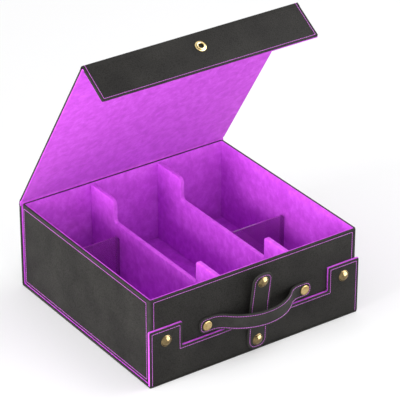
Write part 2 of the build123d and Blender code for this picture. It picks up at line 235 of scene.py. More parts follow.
def lining_material(name, shade, body, light):
    """Microfibre suede, brushed: a short nap that lies in soft pale and dark patches, with a velvety rim."""
    made, tree, place = new_material(name)
    patches = noise(tree, place, 9 * mm, 5.0, 0.6, distortion=0.3)
    # Fibres of about 0.3 mm on the real one, drawn at 1 mm so that the nap shows
    fibres = noise(tree, place, 1.0 * mm, 2.0, 0.7)
    nap = add_node(tree, "ShaderNodeMath", {0: fibres, 1: 0.25, 2: patches}, operation="MULTIPLY_ADD")
    show_surface(tree, {
        "Base Color": ramp(tree, nap.outputs["Value"], (0.45, shade), (0.82, light), (0.62, body)),
        "Roughness": 0.92, "IOR": 1.4, "Specular IOR Level": 0.2,
        "Sheen Weight": 0.2, "Sheen Roughness": 0.45, "Sheen Tint": colour("#f08cff"),
        "Normal": bump(tree, fibres, 0.35, 0.3 * mm)})
    return made


def thread_material(name, body, light):
    """Polyester sewing thread, twisted: fine plies with a faint gloss."""
    made, tree, place = new_material(name)
    plies = noise(tree, place, 0.5 * mm, 1.0)
    show_surface(tree, {
        "Base Color": ramp(tree, plies, (0.35, body), (0.7, light)), "Roughness": 0.6,
        "Normal": bump(tree, plies, 0.4, 0.1 * mm)})
    return made


def brass_material(name, body, tarnish, dent, roughness):
    """Brass plate, polished or hammered: warm and bright, with faint tarnish and handling marks."""
    made, tree, place = new_material(name)
    marks = noise(tree, place, 3.5 * mm, 4.0, 0.6)
    dents = cells(tree, place, 1.6 * mm, 0.6)
    show_surface(tree, {
        "Base Color": ramp(tree, marks, (0.3, tarnish), (0.62, body)), "Metallic": 1.0,
        "Roughness": spread(tree, marks, roughness + 0.06, roughness - 0.04),
        "Normal": bump(tree, dents, dent, 0.4 * mm)})
    return made


def acrylic_material(name, body_colour):
    """Cast acrylic sheet, tinted and bent warm: glossy, with faint scuffs, and a painted highlight on its top
    edges.
    """
    made, tree, place = new_material(name)
    # Painted highlight: faces that look up in the sheet's own axes, its top cut edges, are drawn less
    # see-through, so that they show as pale lines
    upward_highlight = add_node(tree, "ShaderNodeSeparateXYZ", {
        "Vector": add_node(tree, "ShaderNodeTexCoord").outputs["Normal"]})
    scuffs = noise(tree, place, 6 * mm, 5.0, 0.7)
    show_surface(tree, {
        "Base Color": colour(body_colour), "Roughness": spread(tree, scuffs, 0.03, 0.14, 0.45, 0.8),
        "IOR": 1.49, "Transmission Weight": 0.2,
        "Alpha": spread(tree, upward_highlight.outputs["Z"], 0.45, 0.95, 0.5, 0.9)})
    return made


def greyboard_material(name):
    """Grey pulp board, pressed: speckled with paler and darker fibres."""
    made, tree, place = new_material(name)
    pulp = noise(tree, place, 1.2 * mm, 6.0, 0.75)
    show_surface(tree, {
        "Base Color": ramp(tree, pulp, (0.35, "#6f6b64"), (0.65, "#a5a096")), "Roughness": 0.95,
        "Normal": bump(tree, pulp, 0.3, 0.2 * mm)})
    return made


black_leather = leather_material("coated_leather_black", "#292827", "#343331", "#3a3937")
purple_suede = lining_material("microfibre_suede_purple", "#c34dd5", "#cf55e0", "#db64ec")
purple_thread = thread_material("polyester_thread_purple", "#9f49a9", "#bf6bc8")
polished_brass = brass_material("brass_polished", "#8c7a58", "#6a5a3e", 0.05, 0.18)
satin_brass = brass_material("brass_satin", "#cdb988", "#ab935f", 0.05, 0.28)
hammered_brass = brass_material("brass_hammered", "#b6a070", "#8d7546", 0.5, 0.34)
purple_acrylic = acrylic_material("acrylic_tinted_purple", "#96479f")
grey_board = greyboard_material("greyboard")


# Modelling: pieces start from a primitive in edit mode, and set_down finishes them
def begin(shape, scale=(1, 1, 1), **settings):
    """Deselect everything and add a primitive, which becomes the active object, in edit mode."""
    bpy.ops.object.select_all(action="DESELECT")
    getattr(bpy.ops.mesh, f"primitive_{shape}_add")(**settings)
    bpy.context.object.scale = scale
    bpy.ops.object.transform_apply(location=True, rotation=True, scale=True)
    bpy.ops.object.mode_set(mode="EDIT")
    return bpy.context.object


def pick(kind, test):
    """Select only the faces, edges or points that pass the test."""
    bpy.ops.mesh.select_mode(type=kind)
    bpy.ops.mesh.select_all(action="DESELECT")
    shape = bmesh.from_edit_mesh(bpy.context.object.data)
    for item in {"VERT": shape.verts, "EDGE": shape.edges, "FACE": shape.faces}[kind]:
        if test(item):
            item.select_set(True)
    bmesh.update_edit_mesh(bpy.context.object.data)


def near(value, wanted):
    """Whether a place is the wanted one, to a hundredth of a millimetre."""
    return abs(value - wanted) < 0.01 * mm


def lies_at(*heights):
    """Test for faces or edges that lie flat at one of the heights."""
    return lambda item: any(all(near(v.co.z, height) for v in item.verts) for height in heights)


def upper_face(face):
    """Test for the face that becomes the outside of a panel."""
    return lies_at(0)(face) and face.normal.z > 0.5


def upper_rim(edge):
    """Test for edges between the upper face and the sides."""
    return lies_at(0)(edge) and any(abs(face.normal.z) < 0.3 for face in edge.link_faces)


def upright(edge):
    """Test for edges that run along Z."""
    a, b = edge.verts
    return near(a.co.x, b.co.x) and near(a.co.y, b.co.y)


def move_out(height):
    """Extrude what is selected along Z."""
    bpy.ops.mesh.extrude_region_move(TRANSFORM_OT_translate={"value": (0, 0, height)})


def face_outwards():
    """Turn all faces of a closed piece outwards."""
    bpy.ops.mesh.select_all(action="SELECT")
    bpy.ops.mesh.normals_make_consistent(inside=False)


def cut_across(places, axis):
    """Cut the whole mesh at places along an axis, without filling the cuts."""
    along = Vector((0, 0, 0))
    along[axis] = 1
    for place in places:
        bpy.ops.mesh.select_all(action="SELECT")
        bpy.ops.mesh.bisect(plane_co=along * place, plane_no=along, threshold=0.001 * mm)


def trim(place, keep):
    """Cut the piece across Y, keep its part on that side, 1 or -1, and close the cut."""
    bpy.ops.mesh.select_all(action="SELECT")
    bpy.ops.mesh.bisect(plane_co=(0, place, 0), plane_no=(0, keep, 0), use_fill=True, clear_inner=True,
                        threshold=0.001 * mm)


def thicken(depth):
    """Extrude the flat outline down by the depth, into a closed slab."""
    bpy.ops.mesh.select_all(action="SELECT")
    move_out(-depth)
    face_outwards()


def flat_outline(width, low, high, notch=None):
    """A flat panel at height 0: a rectangle, or one whose middle is cut away above a height."""
    piece = begin("plane", size=1, scale=(width, high - low, 1), location=(0, (low + high) / 2, 0))
    if notch:
        left, right, sill = notch
        cut_across([left, right], 0)
        cut_across([sill], 1)
        pick("FACE", lambda face: left < face.calc_center_median().x < right
             and face.calc_center_median().y > sill)
        bpy.ops.mesh.delete(type="FACE")
        bpy.ops.mesh.select_all(action="SELECT")
        bpy.ops.mesh.dissolve_limited(angle_limit=radians(1))
    return piece


def round_edges(test, radius, segments):
    """Round the edges that pass the test, and note them as the ones that get rubbed."""
    pick("EDGE", test)
    bpy.ops.mesh.bevel(offset=radius, segments=segments, profile=0.5, affect="EDGES", clamp_overlap=True)
    shape = bmesh.from_edit_mesh(bpy.context.object.data)
    layer = shape.verts.layers.float.get(rubbed_edges) or shape.verts.layers.float.new(rubbed_edges)
    for point in shape.verts:
        if point.select:
            point[layer] = 1.0
    bmesh.update_edit_mesh(bpy.context.object.data)


def round_points(test, radius):
    """Round the corners of a flat outline that pass the test."""
    pick("VERT", test)
    bpy.ops.mesh.bevel(offset=radius, segments=8, profile=0.5, affect="VERTICES")


def press_channel(test, margin):
    """Press a soft channel into a face, where the thread pulls the leather in."""
    pick("FACE", test)
    for width, depth in ((margin - channel_half_width, 0), (channel_half_width, -channel_depth),
                         (channel_half_width, channel_depth)):
        bpy.ops.mesh.inset(thickness=width, depth=depth)


def shift_channel(on_face, axis, place, distance):
    """Move the stretch of a face's channel that lies at a place along an axis."""
    shift = Vector((0, 0, 0))
    shift[axis] = distance
    pick("VERT", lambda point: on_face(point.co) and abs(point.co[axis] - place) < 1.5 * channel_half_width)
    bpy.ops.transform.translate(value=shift)


def apply_wall(piece, thickness, offset):
    """Give a sheet its thickness."""
    bpy.ops.object.mode_set(mode="OBJECT")
    wall = piece.modifiers.new("wall", "SOLIDIFY")
    wall.thickness, wall.offset, wall.use_even_offset = thickness, offset, True
    bpy.ops.object.modifier_apply(modifier=wall.name)


def soften(piece, radius):
    """Round every sharp edge a little."""
    soft = piece.modifiers.new("soft", "BEVEL")
    soft.width, soft.segments, soft.limit_method, soft.angle_limit = radius, 3, "ANGLE", radians(60)
    bpy.ops.object.modifier_apply(modifier=soft.name)


def set_down(piece, name, place=Matrix()):
    """Leave edit mode, put the piece in its place, and shade it."""
    bpy.ops.object.mode_set(mode="OBJECT")
    piece.name = piece.data.name = name
    piece.data.transform(place)
    bpy.ops.object.shade_smooth_by_angle(angle=radians(40))
    return piece


def dress(piece, material, slot, body, *nodes):
    """Give a piece its material, let it ride on a body and stand for its solids."""
    piece.data.materials.clear()
    piece.data.materials.append(material)
    if body:
        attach(piece, body)
    if nodes:
        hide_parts(*nodes)
    return piece


def in_leather(piece, body, *nodes):
    """Dress a piece in the black leather."""
    return dress(piece, black_leather, "leather", body, *nodes)


def in_lining(piece, body, *nodes):
    """Dress a piece in the purple lining."""
    return dress(piece, purple_suede, "lining", body, *nodes)


def in_brass(piece, finish, body, *nodes):
    """Dress a piece in a brass finish."""
    return dress(piece, finish, "brass", body, *nodes)


# The leather turns in round the board's edges and stops just short of the lining's face
turned_in = 1.4 * mm
cover_depth = panel - 0.2 * mm
lining_wall = 0.3 * mm


def leather_panel(name, place, width, low, high, seam=cover_seam, end_seam=cover_seam,
                  notch=None, runs_on="", depth=cover_depth):
    """Leather over a board, rounded outside and turned in at its edges round the board and the lining.

    At the ends that runs_on names, low or high, the leather and its seam run on into the next panel.
    """
    spare = 4 * seam
    modelled_low = low - spare * ("low" in runs_on)
    modelled_high = high + spare * ("high" in runs_on)
    piece = flat_outline(width, modelled_low, modelled_high, notch)
    thicken(depth)
    press_channel(upper_face, seam)
    if end_seam < seam:
        shift_channel(lambda co: co.z > -leather, 1, high - seam, seam - end_seam)
    round_edges(upright, panel_corner_radius, 3)
    round_edges(upper_rim, min(leather_edge_radius, 0.6 * depth), 3)
    if "low" in runs_on:
        trim(low, 1)
    if "high" in runs_on:
        trim(high, -1)
    if depth > leather:
        pick("FACE", lies_at(-depth))
        bpy.ops.mesh.inset(thickness=turned_in, depth=0)
        move_out(depth - leather)
    return set_down(piece, name, place)


def lining_panel(name, place, width, low, high, notch=None, start=covered_board, hollow=0.0):
    """Lining glued over a panel's inside, and round its board's edges where it has a hollow for the board."""
    depth = lining + hollow
    piece = flat_outline(width, low, high, notch)
    thicken(depth)
    round_edges(upright, lining_corner_radius, 3)
    round_edges(lies_at(0, -depth), soft_edge_radius, 2)
    if hollow:
        pick("FACE", upper_face)
        bpy.ops.mesh.inset(thickness=lining_wall, depth=0)
        move_out(-hollow)
    return set_down(piece, name, place @ Matrix.Translation((0, 0, -start)))


# Cover: each panel has its leather and its lining, which shows at some edges as a bright line
lining_width = cover_width - 2 * turned_in
lid_lining_inset = 0.3 * mm
lid_lining_width = cover_width - 2 * lid_lining_inset
# The flap's lining ends just above the handle when the case is closed, and shows below the leather
flap_leather_end, flap_lining_end = flap_length - 0.5 * mm, flap_length + 0.25 * mm
base_reach = -apron_face
apron_show = 0.3 * mm
apron_notch = (-apron_step, apron_step, apron_middle)
apron_lining_notch = (-apron_step, apron_step, apron_middle + apron_show)

in_leather(leather_panel("base_leather_skin", base_frame, cover_width, -base_reach, base_reach,
                         seam=base_seam, end_seam=base_seam),
           "case", "base_leather")
in_lining(lining_panel("base_lining_sheet", base_frame, lining_width, front_face, -front_face),
          "case", "base_lining")
in_leather(leather_panel("back_leather_skin", back_frame, cover_width, back_low, back_top,
                         runs_on="low high"),
           "case", "back_leather")
in_lining(lining_panel("back_lining_sheet", back_frame, lining_width, back_low, back_top),
          "case", "back_lining")
in_leather(leather_panel("apron_leather_skin", apron_frame, cover_width, back_low, apron_corner,
                         notch=apron_notch, runs_on="low", depth=leather),
           "case", "apron_leather")
in_lining(lining_panel("apron_lining_sheet", apron_frame, cover_width + 2 * apron_show, back_low,
                       apron_corner + apron_show, apron_lining_notch, start=leather, hollow=board),
          "case", "apron_lining")
in_leather(leather_panel("lid_leather_skin", lid_frame, cover_width, hinge_margin, lid_end,
                         runs_on="low high", depth=covered_board),
           "lid", "lid_leather")
in_lining(lining_panel("lid_lining_sheet", lid_frame, lid_lining_width, hinge_margin, lid_end),
          "lid", "lid_lining")
in_leather(leather_panel("flap_leather_skin", flap_frame, cover_width, fold_margin, flap_leather_end,
                         end_seam=flap_end_seam, runs_on="low", depth=covered_board),
           "flap", "flap_leather")
in_lining(lining_panel("flap_lining_sheet", flap_frame, lid_lining_width, fold_margin, flap_lining_end),
          "flap", "flap_lining")


# Tray: one band of leather round the walls, turned in over the rim, and one band of lining inside
rim_leather = 2.2 * mm
rim_lip = panel - rim_leather


def on_side_wall(place):
    """Test for places on the left and right walls."""
    return abs(place.x) > tray_width / 2 - mm


def upright_corner(edge):
    """Test for the upright edges at the tray's corners."""
    point = edge.verts[0].co
    return upright(edge) and near(abs(point.x), tray_width / 2) and near(abs(point.y), tray_depth / 2)


def tray_leather():
    """Leather round the four walls: seams in front and at the sides, rounded corners, a turned-in rim."""
    height = rim_height - panel
    piece = begin("cube", size=1, scale=(tray_width, tray_depth, height),
                  location=(0, 0, panel + height / 2))
    press_channel(lambda face: face.normal.y < -0.9, front_seam)
    shift_channel(lambda co: co.y < front_face + mm, 2, rim_height - front_seam,
                  front_seam - front_seam_top)
    for side in (-1, 1):
        press_channel(lambda face: face.normal.x * side > 0.9
                      and near(face.calc_center_median().x, side * tray_width / 2), side_seam)
    shift_channel(on_side_wall, 2, rim_height - side_seam, side_seam - side_seam_top)
    shift_channel(on_side_wall, 1, front_face + side_seam, side_seam_front - side_seam)
    round_edges(upright_corner, tray_corner_radius, 4)
    pick("FACE", lies_at(rim_height))
    bpy.ops.mesh.inset(thickness=rim_leather, depth=0)
    pick("FACE", lambda face: abs(face.normal.z) > 0.5
         and abs(face.calc_center_median().x) + abs(face.calc_center_median().y) < mm)
    bpy.ops.mesh.delete(type="FACE")
    apply_wall(piece, leather, -1)
    soften(piece, soft_edge_radius)
    return set_down(piece, "tray_leather_band")


def tray_lining():
    """Lining inside the four walls: a lip on the rim beside the leather, and a wall down to the floor."""
    width, depth = tray_width - 2 * panel, tray_depth - 2 * panel
    piece = begin("cube", size=1, scale=(width + 2 * rim_lip, depth + 2 * rim_lip, lining),
                  location=(0, 0, rim_height - lining / 2))
    pick("FACE", lies_at(rim_height))
    bpy.ops.mesh.inset(thickness=rim_lip, depth=0)
    move_out(floor_top - rim_height)
    pick("FACE", lies_at(rim_height - lining))
    bpy.ops.mesh.inset(thickness=rim_lip - lining, depth=0)
    move_out(floor_top - rim_height + lining)
    pick("FACE", lies_at(floor_top))
    bpy.ops.mesh.delete(type="FACE")
    pick("EDGE", lies_at(floor_top))
    bpy.ops.mesh.bridge_edge_loops()
    face_outwards()
    bpy.ops.object.mode_set(mode="OBJECT")
    soften(piece, soft_edge_radius)
    return set_down(piece, "tray_lining_band")


in_leather(tray_leather(), "case",
           "front_wall_leather", "rear_wall_leather", "left_wall_leather", "right_wall_leather")
in_lining(tray_lining(), "case",
          "front_wall_lining", "rear_wall_lining", "left_wall_lining", "right_wall_lining")

floor_low, floor_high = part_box("floor_lining")
in_lining(lining_panel("floor_lining_sheet", panel_frame((0, 0, floor_high.z), (1, 0, 0), (0, 1, 0)),
                       floor_high.x - floor_low.x, floor_low.y, floor_high.y, start=0),
          "case", "floor_lining")

# Dividers: how far the middle lies below the stubs, their lengths, and the radii at their tops and feet
divider_drop = 28.5 * mm
front_stub, rear_stub = 42 * mm, 50 * mm
shoulder_radius, foot_radius = 8 * mm, 4 * mm


def divider_sleeve(name, node):
    """Lining folded over a divider: tall rounded stubs at both ends and a low middle."""
    low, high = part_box(node)
    thickness, length, sill = high.x - low.x, high.y - low.y, high.z - divider_drop
    front_edge, rear_edge = front_stub - length / 2, length / 2 - rear_stub
    piece = flat_outline(length, low.z, high.z, (front_edge, rear_edge, sill))
    round_points(lambda point: near(point.co.x, rear_edge) and point.co.y > high.z - mm, shoulder_radius)
    round_points(lambda point: near(point.co.x, rear_edge) and near(point.co.y, sill), foot_radius)
    round_points(lambda point: near(point.co.x, front_edge) and point.co.y > sill - mm, foot_radius)
    thicken(thickness)
    round_edges(lies_at(0, -thickness), sleeve_edge_radius, 3)
    return set_down(piece, name, panel_frame((high.x, (low.y + high.y) / 2, 0), (0, 1, 0), (0, 0, 1)))


for side in ("left", "right"):
    in_lining(divider_sleeve(f"{side}_divider_sleeve", f"{side}_divider_lining"),
              "case", f"{side}_divider_lining")


# Soft strips: each is modelled flat and then laid along its course, which gives the middle of its
# thickness at a distance, the direction out of it and the direction across it
across_case = Vector((1, 0, 0))


def lay_along(piece, course):
    """Move a flat strip's points onto a course: Y runs along it, X lies across it, and Z is out."""
    bpy.ops.object.mode_set(mode="OBJECT")
    for corner in piece.data.vertices:
        point, out, across = course(corner.co.y)
        corner.co = point + across * corner.co.x + out * corner.co.z
    bpy.ops.object.mode_set(mode="EDIT")


def even_cuts(length, count):
    """Places that divide a length evenly."""
    return [length * i / count for i in range(1, count)]


# Hinge and fold: the leather and the lining run on from panel to panel, pressed together between
# the boards at the hinge, and bent round small radii at the fold
leather_level, lining_level = panel / 2 - leather / 2, lining / 2 - panel / 2
leather_pressed, lining_pressed = 0.55 * mm, -0.45 * mm
leather_bend, lining_bend = 1.2 * mm, 0.8 * mm
web_cuts, web_seam_steps = 20, 8


def hinge_course(level, pressed_level):
    """Course over the hinge: up the back, a soft dip at the hinge line, and on along the lid."""
    def course(run):
        along = run - hinge_margin
        share = min(max(run / hinge_margin / 2, 0), 1)
        out = Vector((0, 1, 0)).lerp(lid_out, share * share * (3 - 2 * share)).normalized()
        lift = level + (pressed_level - level) * (1 - (along / hinge_margin) ** 2)
        way = Vector((0, 0, 1)) if along < 0 else lid_way
        return hinge_point + way * along + out * lift, out, across_case
    return course, 2 * hinge_margin


def fold_course(level, radius):
    """Course over the fold: along the lid, round a tight edge, and down the flap."""
    straight = fold_margin + level - radius
    middle = fold_point + (lid_out + flap_out) * (level - radius)

    def course(run):
        angle = min(max((run - straight) / radius, 0), pi / 2)
        out = lid_out * cos(angle) + flap_out * sin(angle)
        before, after = min(run - straight, 0), max(run - straight - radius * pi / 2, 0)
        return middle + out * radius + lid_way * before + flap_way * after, out, across_case
    return course, 2 * straight + radius * pi / 2


def soft_web(name, width, thickness, course, length):
    """A web that crosses a bend of the cover."""
    piece = begin("plane", size=1, scale=(width, length, 1), location=(0, length / 2, 0))
    cut_across(even_cuts(length, web_cuts), 1)
    lay_along(piece, course)
    apply_wall(piece, thickness, 0)
    bpy.ops.object.mode_set(mode="EDIT")
    face_outwards()
    return set_down(piece, name)


hinge_ends = (hinge_point - Vector((0, 0, hinge_margin)), hinge_point + lid_way * hinge_margin)
fold_ends = (fold_point - lid_way * fold_margin, fold_point + flap_way * fold_margin)
webs = (
    ("hinge", hinge_course(leather_level, leather_pressed), hinge_course(lining_level, lining_pressed),
     ("case", "lid"), hinge_ends, ("back_hinge_strip", "lid_hinge_strip")),
    ("fold", fold_course(leather_level, leather_bend), fold_course(lining_level, lining_bend),
     ("lid", "flap"), fold_ends, ("lid_fold_strip", "flap_fold_strip")))
for name, skin_course, cloth_course, bodies, ends, nodes in webs:
    skin = in_leather(soft_web(f"{name}_leather_web", cover_width, leather, *skin_course), None, *nodes)
    cloth = in_lining(soft_web(f"{name}_lining_web", lid_lining_width, lining, *cloth_course), None)
    for web in (skin, cloth):
        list(bodies)
        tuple(ends[0])
        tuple(ends[1])
        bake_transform(web)


def leather_strip(name, width, length, thickness, end_radius, seam, course, cuts):
    """A strip with rounded ends and a pressed seam."""
    piece = flat_outline(width, 0, length)
    for end in (0, length):
        round_points(lambda point: near(point.co.y, end), end_radius)
    thicken(thickness)
    round_edges(lies_at(0, -thickness), strip_edge_radius, 3)
    press_channel(upper_face, seam)
    cut_across(even_cuts(length, cuts), 1)
    bpy.ops.mesh.select_all(action="SELECT")
    bpy.ops.transform.translate(value=(0, 0, thickness / 2))
    lay_along(piece, course)
    face_outwards()
    return set_down(piece, name)


# Closure strap: flat on the apron at its rivet, then leaning out, with the snap on its upper tab
strap_width, strap_thickness, strap_end, strap_seam = 27 * mm, 2.2 * mm, 11 * mm, 2.9 * mm
strap_bottom, strap_flat_top, lean_drop = 3 * mm, 23 * mm, 0.06 * mm
strap_lean, tab_lean = radians(6.2), radians(9)
tab_point = Vector((0, -142.928, 63.7)) * mm
tab_length, snap_reach = 43.49 * mm, 31.99 * mm
lean_start = Vector((0, apron_face - strap_thickness / 2, strap_flat_top - lean_drop))
flat_run = lean_start.z - strap_bottom
lean_run = (tab_point - lean_start).length
strap_run = flat_run + lean_run + tab_length
strap_legs = ((flat_run, 0.0), (lean_run, strap_lean), (tab_length, tab_lean))
strap_bend, strap_reach, strap_cuts = 6 * mm, 5 * mm, 48


def leaning(angle):
    """Direction up a strap that leans out by the angle."""
    return Vector((0, -sin(angle), cos(angle)))


def strap_course(run):
    """Course of the strap from its lower end: three straight legs with soft bends between them."""
    point, angle, before, start = lean_start - Vector((0, 0, flat_run)), 0.0, 0.0, 0.0
    for length, lean in strap_legs:
        point = point + leaning(lean) * min(max(run - start, 0), length)
        angle += (lean - before) * min(max((run - start) / strap_bend + 0.5, 0), 1)
        before, start = lean, start + length
    return point, Vector((0, -cos(angle), -sin(angle))), across_case


strap_ends = (tab_point - leaning(strap_lean) * strap_reach, tab_point + leaning(tab_lean) * strap_reach)
strap = leather_strip("closure_strap_leather", strap_width, strap_run, strap_thickness,
                      strap_end, strap_seam, strap_course, strap_cuts)
in_leather(strap, None, "closure_strap", "closure_tab")
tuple(strap_ends[0])
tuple(strap_ends[1])
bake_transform(strap)

# Handle: one strip from its right riveted end along the root, over the loop and back to the left end
handle_height, handle_thickness, handle_z, handle_seam = 19.5 * mm, 2.6 * mm, 55.5 * mm, 2.2 * mm
handle_end_x, handle_end, half_span = 77.8 * mm, 8 * mm, 61.5 * mm
root_radius, bow_rise = 24 * mm, 25.7 * mm
handle_reach, handle_cuts = 6 * mm, 96
radius_sum = (half_span ** 2 + bow_rise ** 2) / (2 * bow_rise)
loop_radius = radius_sum - root_radius
handle_face = front_face - handle_thickness / 2
handle_turn = asin(half_span / radius_sum)
flat_part = handle_end_x - half_span
root_run, loop_run = root_radius * handle_turn, loop_radius * handle_turn
handle_run = 2 * (flat_part + root_run + loop_run)


def handle_course(run):
    """Course of the handle: its second half mirrors the first one."""
    side = 1 if run < handle_run / 2 else -1
    run = min(run, handle_run - run)
    if run < flat_part:
        x, y, angle = handle_end_x - run, handle_face, 0.0
    elif run < flat_part + root_run:
        angle = (run - flat_part) / root_radius
        x = half_span - root_radius * sin(angle)
        y = handle_face - root_radius * (1 - cos(angle))
    else:
        angle = handle_turn - (run - flat_part - root_run) / loop_radius
        x = loop_radius * sin(angle)
        y = handle_face - bow_rise + loop_radius * (1 - cos(angle))
    return Vector((side * x, y, handle_z)), Vector((side * sin(angle), -cos(angle), 0)), Vector((0, 0, 1))


def tilt_with_handle(piece):
    """Put a piece of the handle's place into its mesh: where the loop leaves the roots, and a reach, are
    worked out but not used.
    """
    split, reach = handle_course(flat_part + root_run)[0], Vector((0, handle_reach, 0))
    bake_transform(piece)


handle = leather_strip("handle_leather", handle_height, handle_run, handle_thickness,
                       handle_end, handle_seam, handle_course, handle_cuts)
in_leather(handle, None, "handle_loop", "handle_ends")
tilt_with_handle(handle)


# What repeats is modelled once and copied
def copy_to(name, model, places):
    """Copy a model to its places, and join the copies into one piece."""
    bpy.ops.object.select_all(action="DESELECT")
    for place in places:
        copy = model.copy()
        copy.data = model.data.copy()
        copy.data.transform(place)
        bpy.context.scene.collection.objects.link(copy)
        copy.select_set(True)
        bpy.context.view_layer.objects.active = copy
    joined = bpy.context.view_layer.objects.active
    if len(places) > 1:
        bpy.ops.object.join()
    joined.name = joined.data.name = name
    return joined


# Sewing: one stitch, copied along every seam
def one_stitch():
    """A short thread that dips into the leather at both ends, along X."""
    piece = begin("cylinder", vertices=6, radius=thread_width / 2, depth=stitch_body,
                  rotation=(0, pi / 2, 0))
    for side in (-1, 1):
        pick("FACE", lambda face: face.normal.x * side > 0.9)
        bpy.ops.mesh.extrude_region_move(TRANSFORM_OT_translate={
            "value": (side * stitch_end, 0, -stitch_dip)})
        bpy.ops.transform.resize(value=(1, 0.7, 0.5))
    return set_down(piece, "stitch")


def seam_places(points):
    """Places of the stitches along a seam, which is a row of points with their outward directions."""
    runs = [0.0]
    for (a, _), (b, _) in zip(points, points[1:]):
        runs.append(runs[-1] + (b - a).length)
    count = max(1, round(runs[-1] / stitch_pitch))
    step = runs[-1] / count

    def at(run):
        i = max(j for j in range(len(points) - 1) if runs[j] <= run)
        share = (run - runs[i]) / (runs[i + 1] - runs[i])
        return points[i][0].lerp(points[i + 1][0], share), points[i][1].lerp(points[i + 1][1], share)

    places = []
    for i in range(count):
        way = (at((i + 1) * step)[0] - at(i * step)[0]).normalized()
        middle, out = at((i + 0.5) * step)
        across = out.cross(way).normalized()
        turned = Matrix((way, across, way.cross(across))).transposed().to_4x4()
        places.append(Matrix.Translation(middle) @ turned @ Matrix.Diagonal((step / stitch_pitch, 1, 1, 1)))
    return places


stitch = one_stitch()


def sew(name, seams, body=None):
    """Sew the seams with thread."""
    thread = copy_to(name, stitch, [place for seam in seams for place in seam_places(seam)])
    return dress(thread, purple_thread, "lining", body)


def panel_seams(place, corners, lift=thread_lift):
    """Straight seams on a panel from corner to corner."""
    out = (place.to_3x3() @ Vector((0, 0, 1))).normalized()
    points = [(place @ Vector((x, y, lift)), out) for x, y in corners]
    return [list(ends) for ends in zip(points, points[1:])]


def box_corners(width, low, high, seam):
    """Corners of a closed seam that keeps its distance from a panel's edges."""
    half, low, high = width / 2 - seam, low + seam, high - seam
    return [(-half, low), (half, low), (half, high), (-half, high), (-half, low)]


cover_half = cover_width / 2 - cover_seam
step_half = apron_step + cover_seam
apron_corners = [(-cover_half, back_low), (-cover_half, apron_corner - cover_seam),
                 (-step_half, apron_corner - cover_seam), (-step_half, apron_middle - cover_seam)]
apron_corners += [(-x, y) for x, y in reversed(apron_corners)]
flap_corners = [(-cover_half, fold_margin), (-cover_half, flap_leather_end - flap_end_seam),
                (cover_half, flap_leather_end - flap_end_seam), (cover_half, fold_margin)]
front_half, front_top = tray_width / 2 - front_seam, rim_height - front_seam_top
front_corners = [(-front_half, panel + front_seam), (-front_half, front_top), (front_half, front_top),
                 (front_half, panel + front_seam)]
side_rear, side_front = side_seam - tray_depth / 2, tray_depth / 2 - side_seam_front
side_low, side_high = panel + side_seam, rim_height - side_seam_top
side_corners = [(side_rear, side_low), (side_front, side_low), (side_front, side_high),
                (side_rear, side_high), (side_rear, side_low)]


def two_sides(place, low, high):
    """Seams along both side edges of a cover panel."""
    return [seam for x in (-cover_half, cover_half) for seam in panel_seams(place, [(x, low), (x, high)])]


sew("base_stitching", panel_seams(base_frame, box_corners(cover_width, -base_reach, base_reach, base_seam),
                                  -thread_width / 2), "case")
sew("back_stitching", two_sides(back_frame, back_low, back_top), "case")
sew("apron_stitching", panel_seams(apron_frame, apron_corners), "case")
sew("lid_stitching", two_sides(lid_frame, hinge_margin, lid_end), "lid")
sew("flap_stitching", panel_seams(flap_frame, flap_corners), "flap")
sew("tray_stitching", panel_seams(front_frame, front_corners) + panel_seams(left_frame, side_corners)
    + panel_seams(right_frame, [(-x, y) for x, y in side_corners]), "case")


def on_course(flat, course, lift):
    """A seam on a strip: flat places, X and Y, laid along its course."""
    laid = [(course(y), x) for x, y in flat]
    return [(point + across * x + out * lift, out) for (point, out, across), x in laid]


web_thread_lift = leather / 2 + thread_lift + channel_depth / 2
for name, (course, length), _, bodies, ends, _ in webs:
    runs = [0.0, *even_cuts(length, web_seam_steps), length]
    thread = sew(f"{name}_stitching", [
        on_course([(x, run) for run in runs], course, web_thread_lift) for x in (-cover_half, cover_half)])
    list(bodies)
    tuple(ends[0])
    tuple(ends[1])
    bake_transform(thread)


def strip_outline(width, length, end_radius, seam):
    """Flat places of a closed seam round a strip."""
    half, bend = width / 2 - seam, end_radius - seam
    steps, bend_steps = 60, 6
    start, stop = end_radius, length - end_radius
    quarter = [pi / 2 * i / bend_steps for i in range(bend_steps + 1)]
    right = [(half - bend + bend * sin(a), start - bend * cos(a)) for a in quarter]
    right += [(half, start + (stop - start) * i / steps) for i in range(1, steps + 1)]
    right += [(half - bend + bend * cos(a), stop + bend * sin(a)) for a in quarter[1:]]
    left = [(-x, y) for x, y in reversed(right)]
    return left + right + left[:1]


strap_thread = sew("closure_strap_stitching", [on_course(
    strip_outline(strap_width, strap_run, strap_end, strap_seam), strap_course,
    strap_thickness / 2 + thread_lift)])
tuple(strap_ends[0])
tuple(strap_ends[1])
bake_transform(strap_thread)

tilt_with_handle(sew("handle_stitching", [on_course(
    strip_outline(handle_height, handle_run, handle_end, handle_seam), handle_course,
    handle_thickness / 2 + thread_lift)]))

bpy.data.objects.remove(stitch)


# Brass: heads turned from a disc, ring by ring, at these places on their panels
stud_x, stud_z = 123.6 * mm, 56 * mm
strap_rivet_z = 15 * mm
rivet_x = 67.8 * mm
socket_reach = 17.3 * mm
dome_flange, dome_height, dome_rings = 0.7 * mm, 4.5 * mm, 12
flange_foot, flange_brow = 0.15 * mm, 0.2 * mm
crown_tip = 0.15 * mm


